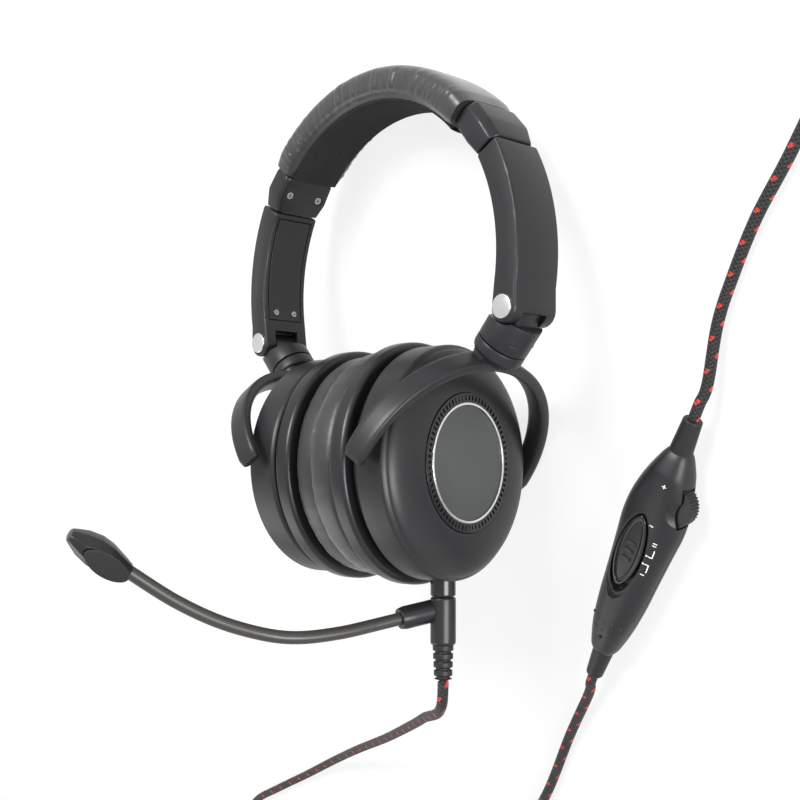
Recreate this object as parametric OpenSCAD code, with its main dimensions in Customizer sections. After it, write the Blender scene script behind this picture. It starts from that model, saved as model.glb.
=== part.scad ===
// Over-ear headset with a boom microphone, a braided cord and an in-line control box.
// It lies on its back on a table: +Z up, +Y towards the crown, +X the wearer's left.
// The pieces are built in the wearer's frame: X left, Y up, Z forward, with the
// origin midway between the ear cups, and lay() then tips them onto the table.

/* [Headband] */
// Outer radius of the headband arc
band_r = 75.5; // [70:0.5:82]
// Height of the arc's centre above the ear cups
band_rise = 70.5; // [66:0.5:76]
// Thickness of the side arms
arm_t = 10; // [8:0.5:12]
// Width of the side arms, front to back
arm_w = 21; // [18:0.5:26]
// Wall of the arm shells and end caps
arm_wall = 2; // [1.4:0.1:2.6]
// Thickness of the head pad
pad_t = 14; // [11:0.5:16]
// Width of the head pad, front to back
pad_w = 29; // [24:0.5:36]
// Angle above the horizontal where arm and end cap meet
seam_angle = 30; // [26:0.5:34]
// Angle that an end cap covers
cap_angle = 14; // [11:0.5:16]
// Travel of each size slider
slide_travel = 20; // [10:1:22]

/* [Folding hinge] */
// Distance of the fold pins from the middle
pin_x = 69; // [67:0.25:71]
// Height of the fold pins above the ear cups
pin_y = 51; // [48:0.5:54]
// Radius of the fold pins
pin_r = 2; // [1.5:0.1:2.4]
// Radius of the round ears about a pin
ear_r = 5.4; // [5:0.1:6]
// Width of the knuckle's tongue between the ears
tongue_w = 11; // [8:0.5:13]
// Lean of the swivel barrel from the vertical
barrel_lean = 42; // [39:0.5:44]
// Radius of the swivel barrel
barrel_r = 9.2; // [8:0.1:9.6]
// Radius of the swivel spindle
spindle_r = 3; // [2:0.1:4]

/* [Ear cups] */
// Radius of the housing
cup_r = 42; // [40:0.5:43]
// Radius of the rim ring behind the cushion
rim_r = 44; // [43:0.25:46]
// Wall of the housing
cup_wall = 2; // [1.4:0.1:3]
// Depth of the housing from pivot to face
face_x = 10; // [8:0.25:12]
// Thickness of the ear cushion
cushion_t = 16; // [13:0.5:17]
// Radius of the opening in the ear cushion
ear_hole_r = 20; // [16:0.5:24]
// Radius of the round face plate
plate_r = 20.4; // [16:0.2:22]
// Outer radius of the slotted ring
grille_r = 24.8; // [23:0.2:27]
// Number of slots in the slotted ring
slot_count = 72; // [24:4:90]
// Radius of the loudspeaker
driver_r = 20; // [15:0.5:22]
// Yaw of both cups in the rest pose
cup_yaw = 9; // [0:0.5:10]
// Rake of both cups in the rest pose
cup_rake = 5; // [0:0.5:7]
// Radius of the pivot studs
stud_r = 2.4; // [1.6:0.1:3]

/* [Microphone] */
// Radius of the jack shaft
jack_r = 1.75; // [1.25:0.25:3]
// Radius of the connector body
joint_r = 4.6; // [4:0.1:5.5]
// Radius of the gooseneck boom
boom_r = 2.3; // [1.8:0.1:3]
// Length of the microphone capsule
mic_l = 22.5; // [20:0.5:28]
// Width of the microphone capsule
mic_w = 12.4; // [11:0.2:15]

/* [Control box and cord] */
// Length of the control box
box_l = 90; // [80:1:96]
// Width of the control box
box_w = 24; // [23:0.5:28]
// Thickness of the control box
box_t = 15; // [14:0.5:18]
// Radius of the volume wheel
wheel_r = 8; // [7:0.25:8.5]
// Diameter of the braided cord
cord_d = 4; // [3.5:0.1:4.2]
// Turns in the coil of spare cord
coil_turns = 6; // [4:1:7]
// Spacing of the plug's two pins
pin_gap = 10.3; // [8:0.1:12]

/* [Hidden] */
$fn = 64;

fit = 0.3;          // gap between pieces that move past each other
snug = 0.1;         // gap between pieces that are fastened together
run = 0.05;         // running clearance of a shaft in its bore
lie = 14.1;         // lean of the headset when crown and cups touch the table
table_z = -48.9;    // height of the table below the origin
arm_in = band_r - arm_t;
pad_in = band_r - pad_t + 1.5;
cap_top = seam_angle + cap_angle;
strip_r = 68.6;     // radius at which the slider strip touches the arc
strip_t = 1.2;
strip_w = 12;
strip_up = slide_travel + 6;
strip_down = 22;
spring_t = 1.2;
spring_r = arm_in + spring_t / 2 + 0.6;
ear_w = (arm_w - tongue_w) / 2 - fit;
barrel_top = 9;     // from the fold pin to the barrel's top
barrel_seam = 14;
barrel_end = 18.5;
tongue_r = ear_r - 1.5;
slot_top = 5.2;     // height of the slot between the ears above the pin
slot_low = 2.2;     // how far the outer wall reaches below the pin
pivot_x = 31.7;     // distance of the yoke pivots from the middle
stud_end = cup_r - 3.5;
yoke_a = cup_r + 5.55;
yoke_b = 41;
yoke_w = 8.6;
yoke_t = 4.2;
yoke_lean = 33;     // lean of the yoke's plane from the vertical
rim_in = -17;       // rim ring, from the pivot towards the head
rim_out = -10;
groove_out = -7.5;
cushion_face = rim_in + 2.2 - cushion_t;
jack_x = pivot_x - 1.6;
jack_y = -cup_r + 1.5;
joint_top = -cup_r - 5.9;
joint_end = -65;
boot_end = -77.5;
boom_y = -53;

// ---------- placing ----------
module lay() rotate([-lie, 0, 0]) children();

// side = 1 is the wearer's left, side = -1 the right
module flip(side) mirror([side < 0 ? 1 : 0, 0, 0]) children();

module at_cup(side) translate([side * pivot_x, 0, 0]) rotate([-cup_rake, cup_yaw, 0])
  flip(side) children();

// frame of the swivel barrel: origin at the fold pin, +Y up along the barrel
module at_barrel() translate([pin_x, pin_y, 0]) rotate([0, 0, -barrel_lean]) children();

module along_barrel(r, from, to) rotate([90, 0, 0]) translate([0, 0, from])
  cylinder(r = r, h = to - from);

// a stretch of the headband arc, revolved about its centre from angle a0 to a1
module arc(a0, a1) translate([0, band_rise, 0]) rotate([0, 0, a0])
  rotate_extrude(angle = a1 - a0, $fn = 128) children();

module slab(r0, r1, w) translate([r0, -w / 2]) square([r1 - r0, w]);

module round_slab(r0, r1, w, c) {
  slab(r0 + c, r1 - c, w);
  slab(r0, r1, w - 2 * c);
  for (r = [r0 + c, r1 - c], z = [-1, 1]) translate([r, z * (w / 2 - c)]) circle(r = c, $fn = 24);
}

// frame at the seam: origin on the arc, +Y along the slide away from the arm
module at_seam(r) translate([r * cos(seam_angle), band_rise + r * sin(seam_angle), 0])
  rotate([0, 0, seam_angle]) children();

// ---------- solids from rings of points ----------
function ring_faces(n, m) = concat(
  [for (i = [0:n - 2], j = [0:m - 1]) each [
    [i * m + j, i * m + (j + 1) % m, (i + 1) * m + j],
    [i * m + (j + 1) % m, (i + 1) * m + (j + 1) % m, (i + 1) * m + j]]],
  [for (j = [1:m - 2]) [0, j + 1, j]],
  [for (j = [1:m - 2]) [(n - 1) * m, (n - 1) * m + j, (n - 1) * m + j + 1]]);

module loft(rings) polyhedron(points = [for (r = rings) each r],
  faces = ring_faces(len(rings), len(rings[0])), convexity = 6);

function unit(v) = v / norm(v);
function tangent(p, i) = unit(p[min(i + 1, len(p) - 1)] - p[max(i - 1, 0)]);
function side_of(t, up) = unit(cross(t, up));
function tube_ring(p, i, r, m, up) = let (t = tangent(p, i), s = side_of(t, up), u = cross(s, t))
  [for (j = [0:m - 1]) p[i] + r * (cos((j + 0.5) * 360 / m) * s + sin((j + 0.5) * 360 / m) * u)];

module tube(p, r, m = 8, up = [0, 0, 1])
  loft([for (i = [0:len(p) - 1]) tube_ring(p, i, r / cos(180 / m), m, up)]);

// smooth curve through hand-set points, n steps from one to the next
function curve_at(a, b, c, d, t) = 0.5 * ((2 * b) + (c - a) * t
  + (2 * a - 5 * b + 4 * c - d) * t * t + (3 * b - a - 3 * c + d) * t * t * t);
function smooth(p, n) = let (k = len(p) - 1) concat(
  [for (i = [0:k - 1], j = [0:n - 1])
    curve_at(p[max(i - 1, 0)], p[i], p[i + 1], p[min(i + 2, k)], j / n)], [p[k]]);

// ---------- headband ----------
module head_pad() color([0.12, 0.12, 0.12]) lay() difference() {
  arc(cap_top + 0.25, 180 - cap_top - 0.25) round_slab(pad_in + 1.2, band_r, pad_w, 5.5);
  arc(cap_top - 1, 181 - cap_top) slab(spring_r - spring_t / 2 - snug, spring_r + spring_t / 2 + snug, strip_w + 1);
  for (side = [-1, 1]) flip(side) strip_pocket();
}

// room for a slider strip when the band is sprung open
module strip_pocket() arc(cap_top - 1, cap_top + 12) slab(spring_r - 0.6, band_r - 1.2, strip_w + 2);

module pad_lining() color([0.1, 0.1, 0.1]) lay()
  arc(cap_top + 0.25, 180 - cap_top - 0.25) round_slab(pad_in, pad_in + 1.1, pad_w - 9, 0.4);

module band_spring() color([0.5, 0.5, 0.52]) lay()
  arc(cap_top - 5, 185 - cap_top) slab(spring_r - spring_t / 2, spring_r + spring_t / 2, strip_w);

module arm_section(grow = 0) round_slab(arm_in - grow, band_r + grow, arm_w + 2 * grow, 2);

module end_cap(side) color([0.13, 0.13, 0.14]) lay() flip(side) difference() {
  arc(seam_angle + 0.35, cap_top) round_slab(arm_in - 0.6, band_r + 0.6, arm_w + 3, 2.2);
  at_seam(strip_r) translate([-strip_t / 2 - snug, -2, -strip_w / 2 - snug])
    cube([strip_t + 2 * snug, 40, strip_w + 2 * snug]);
  arc(cap_top - 5.2, cap_top + 1) slab(spring_r - spring_t / 2 - snug, spring_r + spring_t / 2 + snug, strip_w + 2 * snug);
  cap_screw_spots() cylinder(r = 1.55, h = 3.4);
}

module cap_screw_spots() for (z = [-1, 1]) translate([0, band_rise, 0]) rotate([0, 0, seam_angle + cap_angle / 2])
  translate([arm_in - 1, 0, z * (arm_w / 2 - 3.4)]) rotate([0, 90, 0]) children();

module cap_screws(side) color([0.2, 0.2, 0.2]) lay() flip(side)
  cap_screw_spots() translate([0, 0, 0.5]) cross_screw(1.5, 2.8);

module cross_screw(r, h) difference() {
  cylinder(r = r, h = h, $fn = 32);
  for (a = [0, 90]) rotate([0, 0, a]) translate([-r * 0.65, -0.2, -0.1]) cube([r * 1.3, 0.4, 0.6]);
}

module slider_strip(side) color([0.45, 0.45, 0.47]) lay() flip(side) at_seam(strip_r)
  translate([-strip_t / 2, -strip_down, -strip_w / 2]) cube([strip_t, strip_down + strip_up, strip_w]);

// lowest angle of an arm, level with the fold pin
function arm_low() = atan2(pin_y - band_rise, pin_x) + 3;

module arm_shell(side) color([0.13, 0.13, 0.14]) lay() flip(side) difference() {
  union() {
    arc(arm_low() + 2.5, seam_angle) arm_section();
    arm_end();
  }
  arc(arm_low() + 4, seam_angle - 2) slab(arm_in - 1, band_r - arm_wall, arm_w - 2 * arm_wall - 1);
  at_seam(strip_r) translate([-strip_t / 2 - snug, -strip_down - 0.2, -strip_w / 2 - snug])
    cube([strip_t + 2 * snug, strip_down + 2, strip_w + 2 * snug]);
  knuckle_space();
  translate([pin_x, pin_y, 0]) cylinder(r = pin_r + run, h = arm_w + 2, center = true);
}

function on_arc(r, a) = [r * cos(a), band_rise + r * sin(a)];

// lower end of an arm, drawn in to the round ears
module arm_end() translate([0, 0, -arm_w / 2]) linear_extrude(arm_w) {
  translate([pin_x, pin_y]) circle(r = ear_r);
  polygon([on_arc(arm_in, arm_low() + 3.5), on_arc(band_r, arm_low() + 3.5),
    [pin_x + ear_r, pin_y], [pin_x - ear_r + 0.04, pin_y + 0.6]]);
}

// slot between the ears, open towards the head so that the knuckle folds in;
// the outer wall covers the upper half of the tongue
module knuckle_space() {
  w = tongue_w + 2 * fit;
  translate([pin_x, pin_y, 0]) cylinder(r = tongue_r + 0.4, h = w, center = true);
  translate([arm_in - 8, pin_y - 12, -w / 2]) cube([pin_x - arm_in + 8, 12 + slot_top, w]);
  translate([pin_x - 0.1, pin_y - 12, -w / 2]) cube([9, 12 - slot_low, w]);
}

module arm_cover(side) color([0.11, 0.11, 0.12]) lay() flip(side) difference() {
  arc(arm_low() + 4.3, seam_angle - 2.3) slab(arm_in, arm_in + 1.5, arm_w - 2 * arm_wall - 1.2);
  arm_screw_spots() cylinder(r = 1.3, h = 3);
}

module arm_screw_spots() for (z = [-1, 1]) translate([0, band_rise, 0]) rotate([0, 0, arm_low() + 7])
  translate([arm_in - 1, 0, z * (arm_w / 2 - 6)]) rotate([0, 90, 0]) children();

module arm_screws(side) color([0.2, 0.2, 0.2]) lay() flip(side)
  arm_screw_spots() translate([0, 0, 0.7]) cross_screw(1.2, 3.2);

module fold_pin(side) color([0.85, 0.85, 0.86]) lay() flip(side) translate([pin_x, pin_y, 0]) {
  cylinder(r = pin_r, h = arm_w + 0.4, center = true);
  for (z = [-1, 1]) translate([0, 0, z * (arm_w / 2 + 0.55)]) cylinder(r = ear_r - 1.3, h = 0.9, center = true);
}

module knuckle(side) color([0.13, 0.13, 0.14]) lay() flip(side) difference() {
  at_barrel() {
    along_barrel(barrel_r, barrel_top, barrel_seam);
    knuckle_lip();
    cylinder(r = tongue_r, h = tongue_w - 0.4, center = true);
    translate([0, 0, -tongue_w / 2 + 0.2]) linear_extrude(tongue_w - 0.4) polygon([[-tongue_r, 0],
      [tongue_r, 0], [tongue_r, -1.5], [barrel_r - 0.8, -barrel_top - 0.5], [-tongue_r, -barrel_top - 0.5]]);
  }
  translate([pin_x, pin_y, 0]) cylinder(r = pin_r + run, h = 40, center = true);
  at_barrel() along_barrel(spindle_r + run, 8, barrel_seam + 1);
}

// the barrel rises round the ears on its outer side
module knuckle_lip() difference() {
  along_barrel(barrel_r, 3.5, barrel_top + 0.5);
  cylinder(r = ear_r + fit + 0.2, h = 40, center = true);
  translate([-20, -30, -20]) cube([20, 40, 40]);
}

// ---------- yoke: a half ring about the cup, in the plane of barrel and pivots ----------
function yoke_mid(a) = [0, yoke_b * sin(a), yoke_a * cos(a)];
function yoke_out(a) = unit([0, sin(a) / yoke_b, cos(a) / yoke_a]);
function yoke_sec(a) = let (w = yoke_w / 2 * (1 - 0.25 * pow(abs(cos(a)), 3)), t = yoke_t / 2, c = 1.4)
  [[w, t - c], [w - c, t], [c - w, t], [-w, t - c], [-w, c - t], [c - w, -t], [w - c, -t], [w, c - t]];
function yoke_ring(a) = [for (q = yoke_sec(a)) yoke_mid(a) + q[0] * [1, 0, 0] + q[1] * yoke_out(a)];

module yoke(side) color([0.12, 0.12, 0.13]) lay() difference() {
  union() {
    at_cup(side) {
      rotate([0, 0, -yoke_lean]) loft([for (a = [-4:188 / 32:184]) yoke_ring(a)]);
      for (z = [-1, 1]) translate([0, 0, z * (stud_end + yoke_a) / 2])
        cylinder(r = stud_r, h = yoke_a - stud_end, center = true);
    }
    flip(side) at_barrel() {
      along_barrel(barrel_r, barrel_seam + fit, barrel_end);
      along_barrel(spindle_r, 8.6, barrel_seam + 1);
      hull() {
        along_barrel(barrel_r - 0.6, barrel_end - 1, barrel_end);
        translate([-0.5, -barrel_end - 4, 0]) cube([6, 1, 13], center = true);
      }
    }
  }
}

// ---------- ear cup ----------
module turned(n = 96) rotate([0, 90, 0]) rotate([0, 0, 90]) rotate_extrude($fn = n) children();

// outline of the housing: [radius, distance from the pivot], outside and inside
function housing_outer() = [[cup_r - 0.8, groove_out], [cup_r, groove_out + 1.5], [cup_r, 3.5],
  [cup_r - 0.9, 5], [cup_r - 1.9, 5.4], for (a = [20:14:76]) [26 + 14 * cos(a), 5 + (face_x - 5) * sin(a)],
  [grille_r + 0.2, face_x]];

module housing(side) color([0.12, 0.12, 0.13]) lay() difference() {
  at_cup(side) difference() {
    turned() difference() {
      polygon(concat([[0, groove_out]], housing_outer(), [[0, face_x]]));
      polygon([[0, groove_out - 1], [cup_r - cup_wall - 0.8, groove_out - 1], [cup_r - cup_wall, 3],
        [cup_r - 5, 5 - cup_wall + 1], [grille_r, face_x - cup_wall - 1.6], [0, face_x - cup_wall - 1.6]]);
      translate([0, face_x - 1.4]) square([grille_r, 2]);
    }
    for (z = [-1, 1]) translate([0, 0, z * cup_r]) cylinder(r = stud_r + run + 0.1, h = 10, center = true);
  }
  if (side > 0) jack_axis() cylinder(r = jack_r + 3, h = 14);
}

module rim_ring(side) color([0.1, 0.1, 0.11]) lay() at_cup(side) turned() difference() {
  union() {
    translate([34, rim_in]) square([rim_r - 34, rim_out - rim_in]);
    translate([34, rim_out]) square([cup_r - 3.2 - 34, groove_out - rim_out + 2]);
    translate([cup_r - 3.4, rim_out]) square([2, groove_out - rim_out - 0.2]);
  }
  translate([30, rim_in - 1]) square([5.8, 20]);
  translate([30, rim_in - 1]) square([cup_r - 1.6 - 30, 3.3]);
}

module ear_cushion(side) color([0.09, 0.09, 0.09]) lay() at_cup(side) turned() {
  r = cushion_t / 2;
  mid = cushion_face + r;
  for (q = [cup_r - r + 0.4, ear_hole_r + r]) translate([q, mid]) circle(r = r, $fn = 40);
  translate([ear_hole_r + r, cushion_face]) square([cup_r + 0.4 - 2 * r - ear_hole_r, cushion_t]);
  translate([ear_hole_r + r, mid]) square([cup_r - 4 - ear_hole_r - r, rim_in - 0.2 - mid]);
}

module baffle(side) color([0.15, 0.15, 0.16]) lay() at_cup(side) difference() {
  turned() translate([0, rim_in + 2.4]) square([35.6, 2]);
  for (k = [0:5]) rotate([60 * k, 0, 0]) translate([rim_in + 3, 11, 0]) rotate([0, 90, 0])
    cylinder(r = 3, h = 6, center = true, $fn = 24);
  translate([rim_in + 3, 0, 0]) rotate([0, 90, 0]) cylinder(r = 4, h = 6, center = true, $fn = 32);
}

module driver(side) color([0.3, 0.3, 0.3]) lay() at_cup(side) turned(64)
  polygon([[0, rim_in + 4.5], [driver_r, rim_in + 4.5], [driver_r, rim_in + 7.5],
    [driver_r * 0.6, rim_in + 10.5], [driver_r * 0.6, rim_in + 13.5], [0, rim_in + 13.5]]);

module face_plate(side) color([0.25, 0.26, 0.25]) lay() at_cup(side) turned()
  translate([0, face_x - 1.3]) square([plate_r, 1]);

module bright_ring(side) color([0.9, 0.9, 0.9]) lay() at_cup(side) turned() difference() {
  translate([plate_r + snug, face_x - 1.3]) square([0.8, 1.7]);
}

module slotted_ring(side) color([0.14, 0.14, 0.15]) lay() at_cup(side) difference() {
  turned() translate([plate_r + 1, face_x - 1.3]) square([grille_r - snug - plate_r - 1, 1.5]);
  for (k = [0:slot_count - 1]) rotate([k * 360 / slot_count, 0, 0])
    translate([face_x - 0.7, plate_r + 1.7, -0.45]) cube([2, grille_r - plate_r - 2.6, 0.9]);
}

// ---------- jack, boom and microphone ----------
module jack_axis() translate([jack_x, jack_y - 6, 0]) rotate([-90, 0, 0]) children();

module down(y0, y1, r0, r1) translate([jack_x, y0, 0]) rotate([90, 0, 0])
  cylinder(r1 = r0, r2 = r1, h = y0 - y1);

module jack_socket() color([0.2, 0.2, 0.2]) lay() difference() {
  union() {
    down(jack_y + 1, joint_top + fit, jack_r + 2.8, jack_r + 2.8);
    down(jack_y + 8, jack_y + 0.9, jack_r + 1.5, jack_r + 1.5);
  }
  down(jack_y + 20, joint_top - 5, jack_r + run, jack_r + run);
}

module jack_plug() color([0.8, 0.8, 0.8]) lay() down(jack_y + 7, joint_top + 0.2, jack_r, jack_r);

module boom_joint() color([0.11, 0.11, 0.12]) lay() union() {
  down(joint_top, joint_end, joint_r, joint_r);
  hull() {
    down(boom_y + 3, boom_y - 7, joint_r - 0.6, joint_r - 0.6);
    boom_sleeve(0, 3, 4.2);
  }
  boom_sleeve(0, 13, 3.9);
}

module boom_sleeve(from, to, r) {
  t = unit(boom_path[1] - boom_path[0]);
  tube([for (s = [from, to]) boom_path[0] + t * (s - 11)], r, 16, [0, 1, 0]);
}

// hand-set points of the gooseneck, from the connector to the capsule
boom_path = [[23.9, -54.9, 13], [20.6, -56.9, 24], [17.3, -58.9, 37.3], [13, -59.7, 51.2],
  [8.5, -58.1, 62.5], [4.5, -53, 77.8], [1, -45.3, 92.8], [-2, -35.3, 107.7]];

module boom() color([0.1, 0.1, 0.1]) lay()
  tube(concat([boom_path[0] + unit(boom_path[1] - boom_path[0]) * 2.1], smooth([for (i = [1:7]) boom_path[i]], 4)),
    boom_r, 10, [0, 1, 0]);

function mic_dir() = unit(boom_path[7] - boom_path[6]);
function mic_side() = unit(cross(mic_dir(), [0.25, 1, 0.35]));
function mic_up() = cross(mic_side(), mic_dir());
// half width and half height along the capsule, from the boom to the tip
mic_shape = [[0, 0.52, 0.46], [0.18, 0.72, 0.62], [0.42, 0.96, 0.86], [0.62, 1, 0.9],
  [0.82, 0.84, 0.72], [0.94, 0.62, 0.5], [1, 0.42, 0.34]];

function mic_ring(q, w, h) = [for (j = [0:7]) let (a = j * 45 + 22.5)
  boom_path[7] + mic_dir() * (q[0] * mic_l + 0.1) + mic_side() * (q[1] * w / 2 * cos(a) * 1.08)
  + mic_up() * (q[2] * h / 2 * sin(a) * 1.08)];

module mic_capsule() color([0.12, 0.12, 0.13]) lay() difference() {
  loft([for (q = mic_shape) mic_ring(q, mic_w, mic_w * 0.85)]);
  mic_port(0);
}

module mic_port(gap) translate(boom_path[7] + mic_dir() * mic_l * 0.4 - mic_side() * mic_w * 0.62)
  multmatrix([for (i = [0:2]) [mic_side()[i], mic_up()[i], mic_dir()[i], 0]])
  rotate([0, 90, 0]) cylinder(r = mic_w * 0.33 - gap, h = mic_w * 0.3 - gap, $fn = 32);

module mic_foam() color([0.05, 0.05, 0.05]) lay() intersection() {
  loft([for (q = mic_shape) mic_ring(q, mic_w - 0.6, mic_w * 0.85 - 0.6)]);
  mic_port(snug);
}

module cord_boot() color([0.1, 0.1, 0.1]) lay() translate([jack_x, joint_end - 0.1, 0])
  rotate([90, 0, 0]) rotate_extrude($fn = 48) boot_profile(joint_r - 0.9, cord_d / 2 + 1.1, joint_end - 0.1 - boot_end, 3);

// ribbed sleeve with n grooves
module boot_profile(r0, r1, h, n) difference() {
  polygon([[0, 0], [r0, 0], [r1, h], [0, h]]);
  for (k = [0:n - 1]) translate([r1 + (r0 - r1) * (1 - (k + 1) / (n + 1)) - 0.9, h * (k + 0.8) / (n + 0.6)])
    square([4, h * 0.11]);
}

// ---------- control box, in its own frame: +Y towards the upper boot, +Z its face ----------
box_at = [78.8, -44.2, table_z + box_t / 2 + 0.2];
box_turn = -32;
box_roll = 0;
module at_box() translate(box_at) rotate([0, 0, box_turn]) rotate([0, box_roll, 0]) children();

// share of the half width along the box, from its lower end to its upper end
box_shape = [[0, 0.34], [0.03, 0.44], [0.11, 0.58], [0.2, 0.69], [0.29, 0.77], [0.38, 0.82],
  [0.48, 0.88], [0.57, 0.94], [0.66, 1], [0.75, 0.96], [0.84, 0.81], [0.92, 0.6], [0.97, 0.45], [1, 0.36]];

// a turned lozenge with a flat face and a flat back
module box_solid() intersection() {
  rotate([-90, 0, 0]) rotate_extrude($fn = 96) polygon(concat([[0, -box_l / 2]],
    [for (q = smooth(box_shape, 2)) [q[1] * box_w / 2, (q[0] - 0.5) * box_l]], [[0, box_l / 2]]));
  cube([box_w + 2, box_l + 2, box_t], center = true);
}

wheel_at = [box_w / 2 - wheel_r + 1.6, 26, 0.6];
slider_y = 2;

module oval(l, w, h) linear_extrude(h) {
  translate([-w / 2, -l / 2 + w / 2]) square([w, l - w]);
  for (e = [-1, 1]) translate([0, e * (l / 2 - w / 2)]) circle(d = w, $fn = 40);
}

module box_cover() color([0.12, 0.12, 0.13]) at_box() difference() {
  box_solid();
  box_room();
  translate([-40, -60, -20]) cube([80, 120, 20.05]);
  translate([-1.5, slider_y, 2]) oval(35, 12, 20);
  for (k = [0:4], j = [0:2]) if (abs(k - 2) <= 2 - j)
    translate([(k - 2) * 3, -28 - j * 4, box_t / 2 - 1.6]) cylinder(r = 0.7, h = 4, $fn = 16);
}

// hollow for board and wheel, common to cover and base
module box_room() {
  linear_extrude(9, center = true) polygon(concat(
    [for (q = box_inside) [q[1] * box_w * 0.42 - 1.8, (q[0] - 0.5) * box_l]],
    [for (i = [len(box_inside) - 1:-1:0]) let (q = box_inside[i]) [1.8 - q[1] * box_w * 0.42, (q[0] - 0.5) * box_l]]));
  translate(wheel_at) cylinder(r = wheel_r + 0.5, h = 7, center = true);
  translate(wheel_at + [2, -wheel_r / 2 - 1.2, -2.9]) cube([wheel_r + 4, wheel_r + 2.4, 5.8]);
}
box_inside = [for (i = [2:len(box_shape) - 2]) box_shape[i]];

module box_base() color([0.11, 0.11, 0.12]) at_box() {
  difference() {
    box_solid();
    box_room();
    translate([-40, -60, -0.05]) cube([80, 120, 20]);
    box_screw_spots() translate([0, 0, -box_t]) cylinder(r = 1.4, h = box_t * 2, $fn = 24);
  }
  translate([wheel_at[0], wheel_at[1], -box_t / 2 + 1.2]) cylinder(r = 1.5, h = box_t / 2 + 1.4);
}

module box_screw_spots() for (y = [-box_l * 0.27, box_l * 0.4]) translate([0, y, 0]) children();

module box_screws() color([0.4, 0.4, 0.4]) at_box() box_screw_spots()
  translate([0, 0, -box_t / 2 + 1.7]) cross_screw(1.3, 3.2);

module box_board() color([0.1, 0.3, 0.15]) at_box() difference() {
  translate([-5.8, -20, -3.6]) cube([11.6, 40, 1.4]);
  translate(wheel_at) cylinder(r = wheel_r + 1, h = 20, center = true);
}

module volume_wheel() color([0.07, 0.07, 0.07]) at_box() translate(wheel_at) difference() {
  cylinder(r = wheel_r, h = 5, center = true);
  cylinder(r = 1.5 + run, h = 8, center = true);
  for (k = [0:23]) rotate([0, 0, k * 15]) translate([wheel_r + 0.25, 0, 0])
    cylinder(r = 0.6, h = 8, center = true, $fn = 16);
}

module mute_slider() color([0.15, 0.15, 0.16]) at_box() translate([-1.5, slider_y + 1.5, 2.4]) {
  oval(30.5, 10.6, box_t / 2 - 2.4 - 0.4);
  for (k = [-1:1]) translate([-2, k * 3.4 - 0.6, box_t / 2 - 3]) cube([4, 1.2, 1]);
}

module box_lower_boot() color([0.12, 0.12, 0.13]) at_box() translate([0, -box_l / 2 + 0.1, 0])
  rotate([90, 0, 0]) translate([0, 0, 0.1]) cylinder(r1 = 3.9, r2 = 3.2, h = 11.9);

module box_upper_boot() color([0.12, 0.12, 0.13]) at_box() translate([0, box_l / 2 - 0.1, 0])
  rotate([-90, 0, 0]) translate([0, 0, 0.1]) cylinder(r1 = 4.1, r2 = 3.4, h = 11.9);

// ---------- cord ----------
floor_z = table_z + cord_d / 2 + 0.15;
// ends of the two boots on the table frame
function turn_z(v, a) = [v[0] * cos(a) - v[1] * sin(a), v[0] * sin(a) + v[1] * cos(a), v[2]];
box_end = box_l / 2 + 12;
low_port = box_at + turn_z([0, -box_end, 0], box_turn);
high_port = box_at + turn_z([0, box_end, 0], box_turn);
box_axis = turn_z([0, 1, 0], box_turn);
cord_exit = [jack_x, boot_end * cos(lie), -boot_end * sin(lie)];
exit_dir = [0, -cos(lie), sin(lie)];

// hand-set points from the headset to the control box
lower_route = [cord_exit + exit_dir * 0.7, cord_exit + exit_dir * 3, cord_exit + exit_dir * 6, [27, -87, 19], [11, -91, 11],
  [-7, -99, 2], [-26, -109, -7], [-63, -129, -23], [-104, -149, -36], [-137, -165, floor_z + 3], [-168, -180, floor_z],
  [-198, -194, floor_z], [-222, -206, floor_z], [-236, -220, floor_z], [-234, -236, floor_z], [-218, -245, floor_z],
  [-192, -243, floor_z], [-155, -234, floor_z], [-115, -224, floor_z], [-75, -212, floor_z], [-40, -197, floor_z],
  [-14, -177, floor_z], [6, -155, floor_z], [26, -124, floor_z + 0.5],
  low_port - box_axis * 12 - [0, 0, 2], low_port - box_axis * 5, low_port - box_axis * 0.2];

module cord_lower() color([0.1, 0.1, 0.1]) tube(smooth(lower_route, 2), cord_d / 2, 8);

// hand-set points from the control box to the coil
coil_at = [206, 132, floor_z + 0.5];
coil_in = 180;
upper_route = [high_port + box_axis * 0.2, high_port + box_axis * 6, high_port + box_axis * 13 - [1, 0, 2],
  [120, 34, floor_z + 1], [127, 48, floor_z], [138, 65, floor_z], [152, 82, floor_z], [164, 99, floor_z]];

// the spare cord: two layers that spiral in and out again
coil_gap = cord_d + 0.9;
coil_mid = 23;
coil_out = coil_mid + coil_gap * coil_turns / 4;
function climb(t) = min(1, max(0, (t - coil_turns / 2 + 0.25) * 2));
function coil_point(t) = let (r = coil_out - coil_gap * (coil_turns / 2 - abs(t - coil_turns / 2)),
  a = coil_in - 360 * t, c = climb(t))
  coil_at + [r * cos(a), r * sin(a), coil_gap * c * c * (3 - 2 * c)];
coil_line = [for (i = [0:coil_turns * 24]) coil_point(i / 24)];
coil_near = min([for (i = [0:len(coil_line) - 13], j = [i + 12:len(coil_line) - 1]) norm(coil_line[i] - coil_line[j])])
  - cord_d * 1.1;
echo(str("coil: least gap to itself ", coil_near, " mm"));
coil_tail = coil_line[len(coil_line) - 1];
tail_dir = [0, 1, 0];
plug_t = 12;
pin_stub = 1.2;
// straight out of the coil and down until the plug rests on the table
tail_drop = coil_tail[2] - table_z - plug_t / 2 - 0.2;
tail_l = 20;
coil_tube = concat([coil_line[0], coil_line[0] + [0.05, cord_d, 0]], [for (i = [2:len(coil_line) - 1]) coil_line[i]],
  [for (s = [[4, 0], [9, 0.4], [14, 1], [tail_l, 1]]) coil_tail + tail_dir * s[0] - [0, 0, tail_drop * s[1]]]);

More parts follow.
